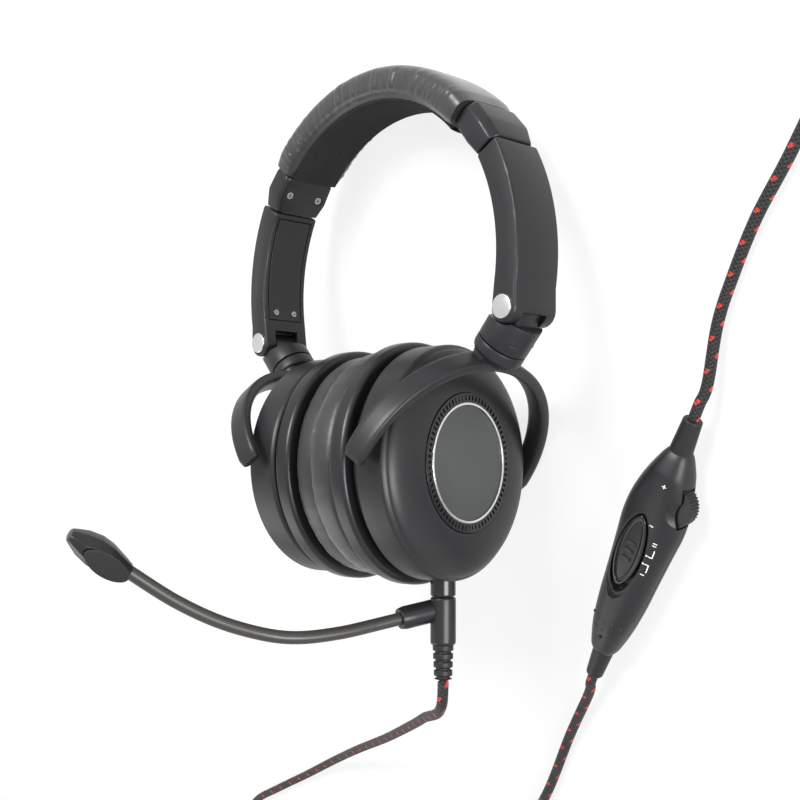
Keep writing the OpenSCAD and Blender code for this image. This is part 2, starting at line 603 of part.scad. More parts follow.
module cord_upper() color([0.1, 0.1, 0.1])
  tube(smooth(concat(upper_route, [coil_line[0] - [3, 14, 0], coil_line[0] - [0.3, 4.5, 0], coil_line[0] - [0, 0.2, 0]]), 2), cord_d / 2, 8);

module cord_coil() color([0.1, 0.1, 0.1]) tube(coil_tube, cord_d / 2 * 0.95, 6);

module coil_tie() color([0.15, 0.15, 0.15]) translate(coil_at + [0, -coil_mid, coil_gap / 2])
  rotate([0, 90, 0]) linear_extrude(7, center = true) difference() {
    square([coil_gap + cord_d + 1.2, coil_gap * (coil_turns / 2 + 1) + 2], center = true);
    square([coil_gap + cord_d + 0.4, coil_gap * (coil_turns / 2 + 1) + 1.2], center = true);
  }

module at_plug() translate(coil_tube[len(coil_tube) - 1] + tail_dir * 0.2) rotate([-90, 0, 0]) children();

module plug_boot() color([0.1, 0.1, 0.1]) at_plug() rotate_extrude($fn = 48)
  boot_profile(cord_d / 2 + 1, 4.6, 20, 4);

module plug_body() color([0.1, 0.1, 0.1]) at_plug() translate([0, 0, 20.1]) difference() {
  intersection() {
    translate([0, 0, 13]) cube([pin_gap + 9, plug_t, 26], center = true);
    translate([0, 0, -6]) cylinder(r1 = 7, r2 = 18, h = 32);
  }
  for (x = [-1, 1]) translate([x * pin_gap / 2, 0, 14]) cylinder(r = pin_stub + run, h = 20, $fn = 32);
}

module plug_pins() color([0.85, 0.75, 0.4]) at_plug() for (x = [-1, 1])
  translate([x * pin_gap / 2, 0, 34.3]) {
    cylinder(r = pin_stub, h = 12, $fn = 32);
    translate([0, 0, 11.85]) cylinder(r = 1.75, h = 14, $fn = 32);
    translate([0, 0, 25.85]) cylinder(r1 = 1.75, r2 = 0.6, h = 2.5, $fn = 32);
  }

head_pad();
band_spring();
pad_lining();
for (side = [1, -1]) {
  name = side > 0 ? "left_" : "right_";
  end_cap(side);
  cap_screws(side);
  slider_strip(side);
  arm_shell(side);
  arm_cover(side);
  arm_screws(side);
  fold_pin(side);
  knuckle(side);
  yoke(side);
  housing(side);
  rim_ring(side);
  ear_cushion(side);
  baffle(side);
  driver(side);
  face_plate(side);
  bright_ring(side);
  slotted_ring(side);
}
jack_socket();
jack_plug();
boom_joint();
cord_boot();
boom();
mic_capsule();
mic_foam();
box_cover();
box_base();
box_board();
box_screws();
volume_wheel();
mute_slider();
box_lower_boot();
box_upper_boot();
cord_lower();
cord_upper();
cord_coil();
coil_tie();
plug_boot();
plug_body();
plug_pins();
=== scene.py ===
import bpy, bmesh, math
from mathutils import Matrix, Vector, noise


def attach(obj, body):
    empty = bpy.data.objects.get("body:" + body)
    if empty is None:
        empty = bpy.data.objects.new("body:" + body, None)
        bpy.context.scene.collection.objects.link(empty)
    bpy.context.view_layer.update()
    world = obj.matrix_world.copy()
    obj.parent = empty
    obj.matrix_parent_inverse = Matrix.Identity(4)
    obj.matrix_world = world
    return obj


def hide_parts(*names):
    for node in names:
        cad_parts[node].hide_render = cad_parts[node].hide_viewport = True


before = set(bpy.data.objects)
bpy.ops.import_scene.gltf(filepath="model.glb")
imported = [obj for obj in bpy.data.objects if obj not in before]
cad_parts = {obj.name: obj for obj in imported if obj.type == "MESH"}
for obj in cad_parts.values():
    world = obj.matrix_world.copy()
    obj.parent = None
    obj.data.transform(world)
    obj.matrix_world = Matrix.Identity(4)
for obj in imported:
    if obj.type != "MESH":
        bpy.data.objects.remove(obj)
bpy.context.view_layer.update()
MM = 0.001

# ---------- the headset's own frames and sizes, in millimetres ----------
LIE = math.radians(14.1)                      # the headset lies back on the table by this angle
LAY = Matrix.Rotation(-LIE, 4, "X")
TABLE = -48.9
PIVOT, YAW, RAKE = 31.7, math.radians(9), math.radians(5)
PIN = Vector((69, 51, 0))                     # the left knuckle's fold pin
LEAN, YOKE_LEAN = math.radians(42), math.radians(33)
BAND_RISE = 70.5                              # centre of the headband's curve
ARM_IN, ARM_OUT, ARM_HALF = 65.5, 75.5, 10.5  # an arm's two faces and half its width
DRUM_R = 9.2
CUP_R, GRILLE = 42, 24.8
JACK_X, BOOT_END = 30.1, 77.5
MIC_LONG = 22.5
BOX_LONG, BOX_WIDE, BOX_THICK = 90, 12, 7.5   # the control box's length, half width and half thickness
BOX_PORT = 57                                 # from its middle to where a cord leaves its boot


def flip(side):
    return Matrix.Scale(-1, 4, (1, 0, 0)) if side < 0 else Matrix.Identity(4)


def cup(side):
    return (LAY @ Matrix.Translation((side * PIVOT, 0, 0)) @ Matrix.Rotation(YAW, 4, "Y")
            @ Matrix.Rotation(-RAKE, 4, "X") @ flip(side))


def barrel(side):
    return LAY @ flip(side) @ Matrix.Translation(PIN) @ Matrix.Rotation(-LEAN, 4, "Z")


SIDES = (("left", 1), ("right", -1))
QUARTER_Y = Matrix.Rotation(math.radians(90), 4, "Y")
QUARTER_Z = Matrix.Rotation(math.radians(90), 4, "Z")

# ---------- camera ----------
eye = bpy.data.cameras.new("Camera")
camera = bpy.data.objects.new("Camera", eye)
bpy.context.collection.objects.link(camera)
right = (LAY.to_3x3() @ Vector((0.668, 0, -0.745))).normalized()
up = (LAY.to_3x3() @ Vector((0, 1, 0))).normalized()
back = right.cross(up)
camera.matrix_world = Matrix((
    (right.x, up.x, back.x, 0.33493), (right.y, up.y, back.y, 0.06515),
    (right.z, up.z, back.z, 0.28686), (0, 0, 0, 1)))
eye.lens, eye.sensor_width, eye.shift_y = 53.1, 36, 0.1025
eye.clip_start = 0.01
bpy.context.scene.camera = camera


# ---------- materials ----------
def nodes_of(name):
    m = bpy.data.materials.new(name)
    m.use_nodes = True
    t = m.node_tree
    return m, t, t.nodes["Principled BSDF"]


def add(t, kind, **values):
    n = t.nodes.new(kind)
    for k, v in values.items():
        if k in n.inputs:
            n.inputs[k].default_value = v
        else:
            setattr(n, k, v)
    return n


def soft_edges(t, radius):
    return add(t, "ShaderNodeBevel", samples=6, Radius=radius)


def two_tone(t, p, share, colour, dark, light):
    """Base colour between a darker and a lighter share of one colour."""
    shade = add(t, "ShaderNodeMix", data_type="RGBA")
    shade.inputs["A"].default_value = (*[c * dark for c in colour], 1)
    shade.inputs["B"].default_value = (*[c * light for c in colour], 1)
    t.links.new(share, shade.inputs["Factor"])
    t.links.new(shade.outputs["Result"], p.inputs["Base Color"])
    return shade


def gloss_range(t, p, share, low, high):
    gloss = add(t, "ShaderNodeMapRange")
    gloss.inputs["To Min"].default_value = low
    gloss.inputs["To Max"].default_value = high
    t.links.new(share, gloss.inputs["Value"])
    t.links.new(gloss.outputs["Result"], p.inputs["Roughness"])


def moulded(name, colour, rough, grain=900, depth=0.02, edge=0.0004, metal=0.0, spec=0.5):
    """Moulded or painted surface: fine grain, slow changes of gloss, softened edges."""
    m, t, p = nodes_of(name)
    at = add(t, "ShaderNodeTexCoord")
    fine = add(t, "ShaderNodeTexNoise", Scale=grain, Detail=3.0)
    slow = add(t, "ShaderNodeTexNoise", Scale=38.0, Detail=4.0)
    for n in (fine, slow):
        t.links.new(at.outputs["Object"], n.inputs["Vector"])
    two_tone(t, p, slow.outputs["Fac"], colour, 0.75, 1.25)
    gloss_range(t, p, slow.outputs["Fac"], rough - 0.06, rough + 0.06)
    bump = add(t, "ShaderNodeBump", Strength=depth * 10, Distance=0.00003)
    t.links.new(fine.outputs["Fac"], bump.inputs["Height"])
    if edge:
        t.links.new(soft_edges(t, edge).outputs["Normal"], bump.inputs["Normal"])
    t.links.new(bump.outputs["Normal"], p.inputs["Normal"])
    p.inputs["Metallic"].default_value = metal
    p.inputs["Specular IOR Level"].default_value = spec
    return m


def leatherette(name, colour, rough):
    """Soft leatherette: pebbled grain and shallow creases."""
    m, t, p = nodes_of(name)
    at = add(t, "ShaderNodeTexCoord")
    pebble = add(t, "ShaderNodeTexVoronoi", Scale=1500.0, feature="SMOOTH_F1")
    crease = add(t, "ShaderNodeTexNoise", Scale=120.0, Detail=6.0, Distortion=1.2)
    slow = add(t, "ShaderNodeTexNoise", Scale=25.0, Detail=3.0)
    for n in (pebble, crease, slow):
        t.links.new(at.outputs["Object"], n.inputs["Vector"])
    two_tone(t, p, slow.outputs["Fac"], colour, 0.7, 1.35)
    gloss_range(t, p, crease.outputs["Fac"], rough - 0.08, rough + 0.1)
    low = add(t, "ShaderNodeBump", Strength=0.35, Distance=0.0004)
    high = add(t, "ShaderNodeBump", Strength=0.3, Distance=0.0001)
    t.links.new(crease.outputs["Fac"], low.inputs["Height"])
    t.links.new(pebble.outputs["Distance"], high.inputs["Height"])
    t.links.new(low.outputs["Normal"], high.inputs["Normal"])
    t.links.new(high.outputs["Normal"], p.inputs["Normal"])
    p.inputs["Sheen Weight"].default_value = 0.15
    return m


def knitted(name, colour):
    """Knitted lining: two crossing rows of loops along the piece's own UV map."""
    m, t, p = nodes_of(name)
    at = add(t, "ShaderNodeUVMap")
    rows = add(t, "ShaderNodeTexWave", Scale=1.0, Distortion=0.4, bands_direction="X")
    cols = add(t, "ShaderNodeTexWave", Scale=1.0, Distortion=0.4, bands_direction="Y")
    for n in (rows, cols):
        t.links.new(at.outputs["UV"], n.inputs["Vector"])
    both = add(t, "ShaderNodeMath", operation="MULTIPLY")
    t.links.new(rows.outputs["Fac"], both.inputs[0])
    t.links.new(cols.outputs["Fac"], both.inputs[1])
    two_tone(t, p, both.outputs[0], colour, 0.45, 1.6)
    bump = add(t, "ShaderNodeBump", Strength=0.6, Distance=0.0003)
    t.links.new(both.outputs[0], bump.inputs["Height"])
    t.links.new(bump.outputs["Normal"], p.inputs["Normal"])
    p.inputs["Roughness"].default_value = 0.9
    p.inputs["Specular IOR Level"].default_value = 0.15
    p.inputs["Sheen Weight"].default_value = 0.06
    return m


def braided(name, colour, fleck):
    """Braided sleeve: U runs once round the cord, V counts diameters along it."""
    m, t, p = nodes_of(name)
    at = add(t, "ShaderNodeUVMap")
    split = add(t, "ShaderNodeSeparateXYZ")
    t.links.new(at.outputs["UV"], split.inputs["Vector"])

    def calc(op, *values):
        n = add(t, "ShaderNodeMath", operation=op)
        for i, v in enumerate(values):
            if isinstance(v, (int, float)):
                n.inputs[i].default_value = v
            else:
                t.links.new(v, n.inputs[i])
        return n.outputs[0]

    u, v = split.outputs["X"], split.outputs["Y"]
    strands, slope, full_turn = 6.0, 2.6, 6.2832
    waves = []
    for lean in ("ADD", "SUBTRACT"):
        phase = calc(lean, calc("MULTIPLY", u, strands), calc("MULTIPLY", v, slope))
        waves.append(calc("SINE", calc("MULTIPLY", phase, full_turn)))
    weave = calc("MAXIMUM", *waves)
    # pairs of coloured yarn ends that wind round the sleeve
    wind = 0.37
    turn = calc("FRACT", calc("ADD", calc("MULTIPLY", u, 2.0), calc("MULTIPLY", v, wind)))
    step = calc("FRACT", calc("MULTIPLY", v, wind * 2))
    pair = calc("FRACT", calc("MULTIPLY", v, wind * 4.0))
    spot = calc("MULTIPLY", calc("LESS_THAN", turn, 0.24), calc("LESS_THAN", step, 0.42))
    spot = calc("MULTIPLY", spot, calc("LESS_THAN", pair, 0.62))
    dark = two_tone(t, p, weave, colour, 0.35, 1.5)
    mix = add(t, "ShaderNodeMix", data_type="RGBA")
    mix.inputs["B"].default_value = (*fleck, 1)
    t.links.new(dark.outputs["Result"], mix.inputs["A"])
    t.links.new(spot, mix.inputs["Factor"])
    t.links.new(mix.outputs["Result"], p.inputs["Base Color"])
    bump = add(t, "ShaderNodeBump", Strength=0.7, Distance=0.0003)
    t.links.new(weave, bump.inputs["Height"])
    t.links.new(bump.outputs["Normal"], p.inputs["Normal"])
    p.inputs["Roughness"].default_value = 0.6
    p.inputs["Specular IOR Level"].default_value = 0.3
    p.inputs["Sheen Weight"].default_value = 0.06
    return m


PLASTIC = moulded("satin_black_plastic", (0.01, 0.01, 0.0115), 0.34, grain=1400, depth=0.012, spec=0.34)
SHELL = moulded("soft_touch_shell", (0.011, 0.011, 0.0125), 0.4, grain=1800, depth=0.016, spec=0.34)
GLOSSY = moulded("glossy_black_plastic", (0.009, 0.009, 0.0105), 0.2, depth=0.004, edge=0.0003, spec=0.4)
RUBBER = moulded("black_rubber", (0.01, 0.01, 0.01), 0.46, grain=1200, depth=0.02, edge=0.0003, spec=0.3)
STEEL = moulded("bare_steel", (0.5, 0.5, 0.51), 0.34, grain=700, metal=1.0, edge=0.0002)
CHROME = moulded("bright_turned_metal", (0.78, 0.78, 0.79), 0.2, grain=400, metal=1.0, edge=0.0003)
PLATE = moulded("dark_satin_plate", (0.075, 0.08, 0.077), 0.4, grain=900, depth=0.01, metal=0.6, edge=0)
DARK_METAL = moulded("plated_screws", (0.34, 0.34, 0.34), 0.3, metal=1.0, edge=0.0002)
BOARD = moulded("circuit_board", (0.02, 0.11, 0.04), 0.4)
BRASS = moulded("plated_pins", (0.75, 0.6, 0.32), 0.22, metal=1.0, edge=0.0002)
FOAM = moulded("fine_foam", (0.012, 0.012, 0.012), 0.95, grain=2600, depth=0.12, edge=0)
CUSHION = leatherette("cushion_leatherette", (0.01, 0.01, 0.0105), 0.42)
PAD = leatherette("pad_leatherette", (0.015, 0.015, 0.015), 0.36)
KNIT = knitted("knitted_lining", (0.016, 0.016, 0.016))
PIN_METAL = moulded("turned_pin_head", (0.6, 0.6, 0.61), 0.26, grain=300, metal=1.0, edge=0.0002)
BOOM_SKIN = moulded("boom_sleeve", (0.03, 0.028, 0.025), 0.36, grain=1500, depth=0.01, edge=0)
INK = moulded("white_ink", (0.75, 0.75, 0.75), 0.6, edge=0)
BRAID = braided("flecked_braid", (0.013, 0.012, 0.012), (0.5, 0.03, 0.02))

LOOK = {"head_pad": PAD, "pad_lining": KNIT, "band_spring": STEEL, "jack_socket": GLOSSY, "jack_plug": CHROME,
        "boom_joint": GLOSSY, "cord_boot": RUBBER, "boom": RUBBER, "mic_capsule": PLASTIC, "mic_foam": FOAM,
        "box_cover": SHELL, "box_base": SHELL, "box_board": BOARD, "box_screws": DARK_METAL,
        "volume_wheel": PLASTIC, "mute_slider": PLASTIC, "box_lower_boot": RUBBER, "box_upper_boot": RUBBER,
        "cord_lower": BRAID, "cord_upper": BRAID, "cord_coil": BRAID, "coil_tie": RUBBER,
        "plug_boot": RUBBER, "plug_body": PLASTIC, "plug_pins": BRASS}
for word, _ in SIDES:
    LOOK.update({f"{word}_{k}": v for k, v in dict(
        end_cap=PLASTIC, cap_screws=DARK_METAL, slider_strip=STEEL, arm_shell=SHELL, arm_cover=PLASTIC,
        arm_screws=DARK_METAL, fold_pin=CHROME, knuckle=SHELL, yoke=SHELL, housing=SHELL, rim_ring=PLASTIC,
        ear_cushion=CUSHION, baffle=RUBBER, driver=DARK_METAL, face_plate=PLATE, bright_ring=CHROME,
        slotted_ring=GLOSSY).items()})
for name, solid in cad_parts.items():
    solid.data.materials.clear()
    solid.data.materials.append(LOOK[name])


# ---------- making pieces ----------
def only(o):
    bpy.ops.object.select_all(action="DESELECT")
    o.select_set(True)
    bpy.context.view_layer.objects.active = o


def finish_piece(o, body, look=None, stands_for=(), angle=35):
    only(o)
    if look:
        o.data.materials.clear()
        o.data.materials.append(look)
    bpy.ops.object.shade_smooth_by_angle(angle=math.radians(angle))
    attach(o, body)
    if stands_for:
        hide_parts(*stands_for)
    return o


def apply_modifiers(o):
    only(o)
    for m in list(o.modifiers):
        bpy.ops.object.modifier_apply(modifier=m.name)


def round_edges(o, width, segments, angle):
    b = o.modifiers.new("edges", "BEVEL")
    b.width, b.segments, b.limit_method, b.angle_limit = width * MM, segments, "ANGLE", math.radians(angle)
    apply_modifiers(o)


def put(o, place):
    """Moves a mesh made at the origin to its place, given in millimetres."""
    at = place.copy()
    at.translation = place.translation * MM
    o.data.transform(at)
    if place.determinant() < 0:
        o.data.flip_normals()


def squared(v, power):
    """A sine or cosine pushed outwards, so that a round section turns squarer."""
    return math.copysign(abs(v) ** power, v)


def skin(name, rings, place=None, round_trip=False, uv=None):
    """A closed skin over rings of points given in millimetres."""
    n, m = len(rings), len(rings[0])
    place = place or Matrix.Identity(4)
    points = [(place @ Vector(p)) * MM for ring in rings for p in ring]
    faces = []
    for i in range(n if round_trip else n - 1):
        k = (i + 1) % n
        for j in range(m):
            l = (j + 1) % m
            faces.append((i * m + j, i * m + l, k * m + l, k * m + j))
    if not round_trip:
        faces.append(tuple(range(m))[::-1])
        faces.append(tuple((n - 1) * m + j for j in range(m)))
    mesh = bpy.data.meshes.new(name)
    mesh.from_pydata(points, [], faces)
    if uv:
        layer = mesh.uv_layers.new(name="UVMap")
        for f in mesh.polygons:
            side_face = len(f.vertices) == 4 and f.index < len(faces) - (0 if round_trip else 2)
            for loop in f.loop_indices:
                v = mesh.loops[loop].vertex_index
                i, j = divmod(v, m)
                if side_face and f.index % m == m - 1 and j == 0:
                    j = m
                if round_trip and f.index // m == n - 1 and i == 0:
                    i = n
                layer.data[loop].uv = uv(i, j)
    o = bpy.data.objects.new(name, mesh)
    bpy.context.collection.objects.link(o)
    b = bmesh.new()
    b.from_mesh(mesh)
    bmesh.ops.recalc_face_normals(b, faces=b.faces)
    b.to_mesh(mesh)
    b.free()
    return o


def soften(points, r, n=4):
    """Corners of an open or closed outline cut by short arcs."""
    out = [points[0]]
    for a, b, c in zip(points, points[1:], points[2:]):
        a, b, c = Vector(a), Vector(b), Vector(c)
        s, e = min(r, (a - b).length / 2.01), min(r, (c - b).length / 2.01)
        p, q = b + (a - b).normalized() * s, b + (c - b).normalized() * e
        for k in range(n + 1):
            f = k / n
            out.append(tuple(p * (1 - f) ** 2 + b * 2 * f * (1 - f) + q * f * f))
    out.append(points[-1])
    return out


def turned(name, outline, place, steps=112):
    """Spins an outline of (radius, distance along X) about the X axis."""
    bpy.ops.object.select_all(action="DESELECT")
    bpy.ops.mesh.primitive_plane_add(size=0.001)
    o = bpy.context.object
    o.name = name
    bpy.ops.object.mode_set(mode="EDIT")
    bpy.ops.mesh.select_all(action="SELECT")
    bpy.ops.mesh.merge(type="CENTER")
    here = Vector((0, 0, 0))
    for i, (r, x) in enumerate(outline):
        there = Vector((x, 0, r)) * MM
        if i == 0:
            bpy.ops.transform.translate(value=there)
        else:
            bpy.ops.mesh.extrude_region_move(TRANSFORM_OT_translate={"value": there - here})
        here = there
    bpy.ops.mesh.select_all(action="SELECT")
    bpy.ops.mesh.spin(steps=steps, angle=math.tau, center=(0, 0, 0), axis=(1, 0, 0))
    bpy.ops.mesh.select_all(action="SELECT")
    bpy.ops.mesh.remove_doubles(threshold=1e-6)
    bpy.ops.mesh.normals_make_consistent(inside=False)
    bpy.ops.object.mode_set(mode="OBJECT")
    put(o, place)
    return o


def plate(name, outline, z0, z1, place, bevel=0.8, segments=3):
    """A flat outline in millimetres drawn up from z0 to z1, with rounded edges."""
    corners = [Vector((x, y, z0)) * MM for x, y in outline]
    mesh = bpy.data.meshes.new(name)
    mesh.from_pydata(corners, [], [tuple(range(len(corners)))])
    o = bpy.data.objects.new(name, mesh)
    bpy.context.collection.objects.link(o)
    only(o)
    bpy.ops.object.mode_set(mode="EDIT")
    bpy.ops.mesh.select_all(action="SELECT")
    bpy.ops.mesh.extrude_region_move(TRANSFORM_OT_translate={"value": (0, 0, (z1 - z0) * MM)})
    bpy.ops.mesh.select_all(action="SELECT")
    bpy.ops.mesh.normals_make_consistent(inside=False)
    bpy.ops.object.mode_set(mode="OBJECT")
    if bevel:
        round_edges(o, bevel, segments, 40)
    put(o, place)
    return o


def carve(o, *cutters):
    for c in cutters:
        b = o.modifiers.new("cut", "BOOLEAN")
        b.operation, b.object, b.solver = "DIFFERENCE", c, "EXACT"
        only(o)
        bpy.ops.object.modifier_apply(modifier=b.name)
        bpy.data.objects.remove(c, do_unlink=True)
    return o


def block(place, lo, hi):
    """A plain cutter between two corners, in millimetres."""
    lo, hi = Vector(lo), Vector(hi)
    bpy.ops.mesh.primitive_cube_add(size=1)
    o = bpy.context.object
    o.data.transform(Matrix.Translation((lo + hi) / 2 * MM) @ Matrix.Diagonal((*((hi - lo) * MM), 1)))
    put(o, place)
    return o


def rod(place, r, h, centre=(0, 0, 0), n=48):
    """A plain cutter: cylinder along Z about a centre, in millimetres."""
    bpy.ops.mesh.primitive_cylinder_add(vertices=n, radius=r * MM, depth=h * MM)
    o = bpy.context.object
    o.data.transform(Matrix.Translation(Vector(centre) * MM))
    put(o, place)
    return o


def arc_point(r, a, z):
    """A point on the headband's curve."""
    return (r * math.cos(a), BAND_RISE + r * math.sin(a), z)


def circle(r, turns, x=0.0, y=0.0):
    """Points at the given degrees on a circle about (x, y)."""
    return [(x + r * math.cos(math.radians(a)), y + r * math.sin(math.radians(a))) for a in turns]


def smooth_path(points, n):
    """A smooth curve through the points, with n steps between each two."""
    out, k = [], len(points) - 1
    for i in range(k):
        a, b = Vector(points[max(i - 1, 0)]), Vector(points[i])
        c, d = Vector(points[i + 1]), Vector(points[min(i + 2, k)])
        for j in range(n):
            t = j / n
            out.append(0.5 * (2 * b + (c - a) * t + (2 * a - 5 * b + 4 * c - d) * t * t
                              + (3 * b - a - 3 * c + d) * t ** 3))
    return out + [Vector(points[k])]


def sleeve(name, path, r, m=20, shape=None, place=None, upward=(0, 0, 1)):
    """Round tube along a path in millimetres, with U round it and V in diameters."""
    run, total = [0.0], 0.0
    for a, b in zip(path, path[1:]):
        total += (b - a).length
        run.append(total)
    rings, u = [], Vector(upward)
    for i, p in enumerate(path):
        t = (path[min(i + 1, len(path) - 1)] - path[max(i - 1, 0)]).normalized()
        s = t.cross(u).normalized()
        u = s.cross(t).normalized()
        k = shape(run[i] / total) if shape else 1.0
        rings.append([p + (s * math.cos(math.tau * j / m) + u * math.sin(math.tau * j / m)) * r * k
                      for j in range(m)])
    return skin(name, rings, place, uv=lambda i, j: (j / m, run[i] / (2 * r)))


# ---------- cord ----------
CORD = 4.0
FLOOR = TABLE + CORD / 2 + 0.15
cos_l, sin_l = math.cos(LIE), math.sin(LIE)
way_out = Vector((0, -cos_l, sin_l))
exit_at = Vector((JACK_X, -BOOT_END * cos_l, BOOT_END * sin_l))
turn_box = math.radians(-32)
along_box = Vector((-math.sin(turn_box), math.cos(turn_box), 0))
box_centre = Vector((78.8, -44.2, TABLE + 7.7))
low_port, high_port = box_centre - along_box * BOX_PORT, box_centre + along_box * BOX_PORT
lower_points = [exit_at + way_out * 0.7, exit_at + way_out * 2, (28.6, -83.7, 20), (24.5, -88.1, 18.3),
                (18.1, -91.9, 14.9), (9.6, -95.7, 10.3), (-0.5, -100.1, 4.8), (-12, -106, -1), (-26, -113, -7.5),
                (-63, -131, -23), (-104, -149.5, -36), (-137, -165, FLOOR + 3), (-168, -180, FLOOR),
                (-198, -194, FLOOR), (-222, -206, FLOOR), (-236, -220, FLOOR), (-234, -236, FLOOR),
                (-218, -245, FLOOR), (-192, -243, FLOOR), (-155, -234, FLOOR), (-115, -224, FLOOR),
                (-75, -212, FLOOR), (-40, -197, FLOOR), (-14, -177, FLOOR), (6, -155, FLOOR), (26, -124, FLOOR + 0.5),
                low_port - along_box * 12 - Vector((0, 0, 2)), low_port - along_box * 5, low_port - along_box * 0.2]
coil_at = Vector((206, 132, FLOOR + 0.5))
TURNS, PITCH, MIDDLE = 6, CORD + 0.9, 23
OUTER = MIDDLE + PITCH * TURNS / 4


def coil_point(t):
    r = OUTER - PITCH * (TURNS / 2 - abs(t - TURNS / 2))
    a = math.pi - math.tau * t
    c = min(1, max(0, (t - TURNS / 2 + 0.25) * 2))
    return coil_at + Vector((r * math.cos(a), r * math.sin(a), PITCH * c * c * (3 - 2 * c)))


coil_start, coil_end = coil_point(0), coil_point(TURNS)
upper_points = [high_port + along_box * 0.2, high_port + along_box * 6,
                high_port + along_box * 13 - Vector((1, 0, 2)), (120, 34, FLOOR + 1), (127, 48, FLOOR),
                (138, 65, FLOOR), (152, 82, FLOOR), (164, 99, FLOOR),
                coil_start - Vector((3, 14, 0)), coil_start - Vector((0.3, 4.5, 0)), coil_start - Vector((0, 0.2, 0))]
drop = coil_end.z - TABLE - 6.2
coil_points = [coil_start, coil_start + Vector((0.05, CORD, 0))]
coil_points += [coil_point(i / 36) for i in range(4, TURNS * 36 + 1)]
coil_points += [coil_end + Vector((0, s, -drop * k)) for s, k in ((4, 0), (9, 0.4), (14, 1), (20, 1))]


def cord_piece(name, path, nodes):
    o = sleeve(name, path, CORD / 2, m=14)
    finish_piece(o, "left_cup", BRAID, nodes, angle=80)
    return o, sum((b - a).length for a, b in zip(path, path[1:])) * MM


lower_path = smooth_path(lower_points, 10)
spare_path = smooth_path(upper_points, 8)[:-1] + coil_points
lower_cord, lower_l = cord_piece("cord_to_box", lower_path, ("cord_lower",))
spare_cord, spare_l = cord_piece("cord_to_plug", spare_path, ("cord_upper", "cord_coil"))


# ---------- ear cushions ----------
def ear_cushion(word, side):
    back, face = -15.0, -30.8
    half_deep = (back - face) / 2
    n, m = 260, 44
    rings = []
    for i in range(n):
        a = math.tau * i / n
        here = Vector((math.cos(a) * 2, math.sin(a) * 2, side * 5))
        fold = noise.noise(here * 3.2) + 0.6 * noise.noise(here * 8)
        ring = []
        for j in range(m):
            b = math.tau * j / m
            # rounded section between the ear opening and the outer wall
            cx, cy = math.cos(b), math.sin(b)
            r = 31 + 10.6 * squared(cx, 0.72)
            x = face + half_deep - half_deep * squared(cy, 0.62)
            if cx > 0:
                tuck = max(0.0, 1 - abs(cy + 0.75) * 2.2)
                r -= 1.6 * tuck
            front = max(0.0, cy)
            r += 0.35 * fold * max(0.0, cx) * (0.4 + abs(cy))
            x -= 0.3 * fold * front - 0.45 * front ** 3
            ripple = math.sin(a * 58 + 3 * noise.noise(here * 5)) * max(0.0, -cy) ** 1.5
            r += 0.22 * ripple * (1 if cx > 0 else 0.3)
            ring.append((x, r * math.sin(a), r * math.cos(a)))
        rings.append(ring)
    o = skin(f"{word}_cushion", rings, cup(side), round_trip=True)
    finish_piece(o, f"{word}_cup", CUSHION, (f"{word}_ear_cushion",), angle=80)


for word, side in SIDES:
    ear_cushion(word, side)


# ---------- head pad ----------
def head_pad():
    middle_r, half_wide = 69.35, 14.4
    a0, a1 = math.radians(44.3), math.radians(135.7)
    n, m = 220, 60
    rings = []
    for i in range(n):
        f = i / (n - 1)
        a = a0 + (a1 - a0) * f
        end = min(1.0, min(f, 1 - f) * 26)
        ring = []
        for j in range(m):
            b = math.tau * j / m
            cx, cy = math.cos(b), math.sin(b)
            w = half_wide * squared(cx, 0.5)
            h = squared(cy, 0.6)
            r = middle_r + (6.0 + 0.5 * end) * h
            # puckers gathered towards the seam along both edges
            gather = noise.noise(Vector((f * 34, cx * 0.7, 3))) + 0.5 * noise.noise(Vector((f * 80, cx, 9)))
            fold = math.sin(f * 62 + 2.2 * noise.noise(Vector((f * 11, 0.4 * cx, 5))) + 1.1 * cy)
            gather += (1.1 * max(0.0, fold) ** 3 - 0.3) * max(0.0, min(1.0, (0.35 - cy) * 2.2))
            edge = max(0.0, abs(cx) - 0.35) * (1 if cy > -0.5 else 0.2)
            r += 0.5 * gather * edge * end * (0.6 if cy > 0 else 0.4)
            w += math.copysign(0.7 * gather * edge * end, cx)
            seam = math.exp(-((cy + 0.62) / 0.16) ** 2) * (1 if abs(cx) > 0.5 else 0)
            w -= math.copysign(0.7 * seam * end, cx)
            k = 0.955 + 0.045 * end
            ring.append(arc_point(middle_r + (r - middle_r) * k, a, w * k))
        rings.append(ring)
    o = skin("head_pad_cover", rings, LAY)
    finish_piece(o, "headband", PAD, ("head_pad",), angle=60)


def pad_lining():
    half_wide = 10.6
    a0, a1 = math.radians(44.6), math.radians(135.4)
    n, m = 120, 24
    rings = []
    for i in range(n):
        a = a0 + (a1 - a0) * i / (n - 1)
        ring = []
        for j in range(m):
            b = math.tau * j / m
            cx, cy = math.cos(b), math.sin(b)
            w = half_wide * squared(cx, 0.5)
            sag = 0.5 * (1 - (w / half_wide) ** 2)
            ring.append(arc_point(63.1 - sag + 0.55 * squared(cy, 0.5), a, w))
        rings.append(ring)
    o = skin("knitted_pad_lining", rings, LAY, uv=lambda i, j: (i * 0.9 * 4.2, j * 1.6))
    finish_piece(o, "headband", KNIT, ("pad_lining",), angle=60)


head_pad()
pad_lining()


